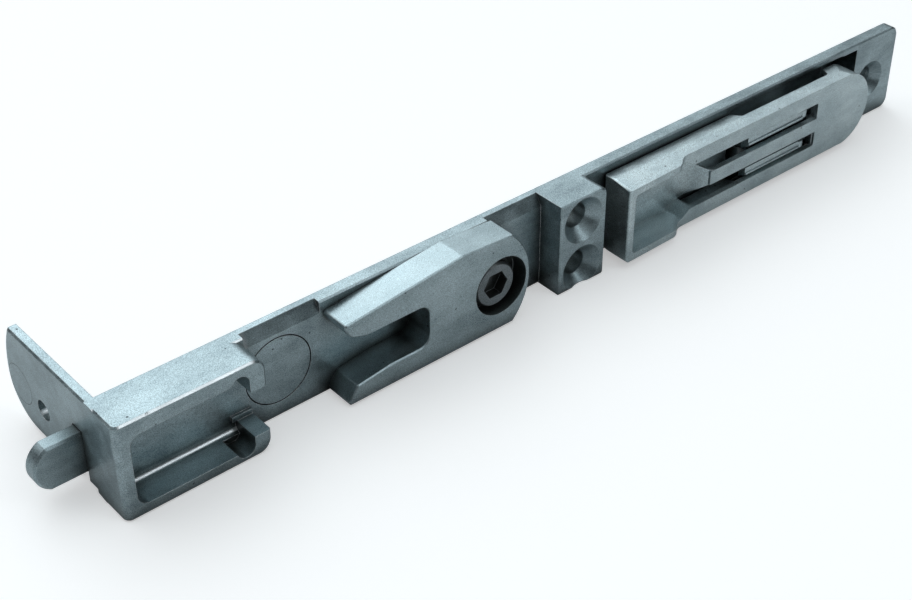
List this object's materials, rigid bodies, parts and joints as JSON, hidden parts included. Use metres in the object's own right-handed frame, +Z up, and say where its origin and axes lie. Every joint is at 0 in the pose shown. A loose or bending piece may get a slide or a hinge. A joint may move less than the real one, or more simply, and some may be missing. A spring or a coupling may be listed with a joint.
{
  "type": "lever edge bolt with tilt-strike pocket and closing fork",
  "caption": "Lever-operated edge bolt for a double casement's passive leaf: tilt-strike pocket, adjustable closing fork, hinged lever, drive bar and end bolt.",
  "frame": {"origin": "Middle of the pair of fixing screw holes, on the back face that seats on the leaf.", "axes": "X along the body from the bolt end to the lever's hinge end, Y into the leaf, Z up across the width."},
  "size_m": [0.1687, 0.0312, 0.0166],
  "materials": {
    "cast_zinc": "satin plated casting",
    "screw_steel": "dark plated steel",
    "plated_steel": "zinc plated steel"
  },
  "bodies": {
    "casting": {"body_casting": "cast_zinc", "guide_stud": "plated_steel", "guide_washer_1": "plated_steel", "guide_washer_2": "plated_steel", "guide_washer_3": "plated_steel", "lever_pin": "plated_steel"},
    "lever": {"lever": "cast_zinc", "link_pin": "plated_steel"},
    "link": {"link_upper": "plated_steel", "link_lower": "plated_steel"},
    "bar": {"drive_bar": "plated_steel", "bar_pin": "plated_steel", "bolt": "cast_zinc", "bolt_rivet_1": "plated_steel", "bolt_rivet_2": "plated_steel"},
    "screw": {"eccentric_screw": "screw_steel"},
    "fork": {"strike_fork": "cast_zinc"}
  },
  "joints": [
    {"name": "lever_swing", "type": "hinge", "parent": "casting", "child": "lever", "pos_m": [0.0619, -0.0027, -0.00155], "axis": [0, 0, 1], "range_deg": [0, 90]},
    {"name": "link_swing", "type": "hinge", "parent": "lever", "child": "link", "pos_m": [0.0554, -0.0027, -0.00155], "axis": [0, 0, 1], "range_deg": [-114.96, 0]},
    {"name": "bar_slide", "type": "slide", "parent": "casting", "child": "bar", "axis": [1, 0, 0], "range_m": [0, 0.00796]},
    {"name": "fork_shift", "type": "slide", "parent": "casting", "child": "fork", "axis": [0, 0, 1], "range_m": [-0.000433, 0.000433]},
    {"name": "screw_turn", "type": "hinge", "parent": "casting", "child": "screw", "pos_m": [-0.0174, -0.0066, 0.0004], "axis": [0, -1, 0], "range_deg": [-60.5, 60.5]}
  ],
  "couplings": [
    {"joint": "link_swing", "follows": "lever_swing", "ratio": -1.2717},
    {"joint": "bar_slide", "follows": "lever_swing", "m_per_rad": 0.0050349},
    {"joint": "screw_turn", "follows": "fork_shift", "rad_per_m": 2418.5}
  ]
}
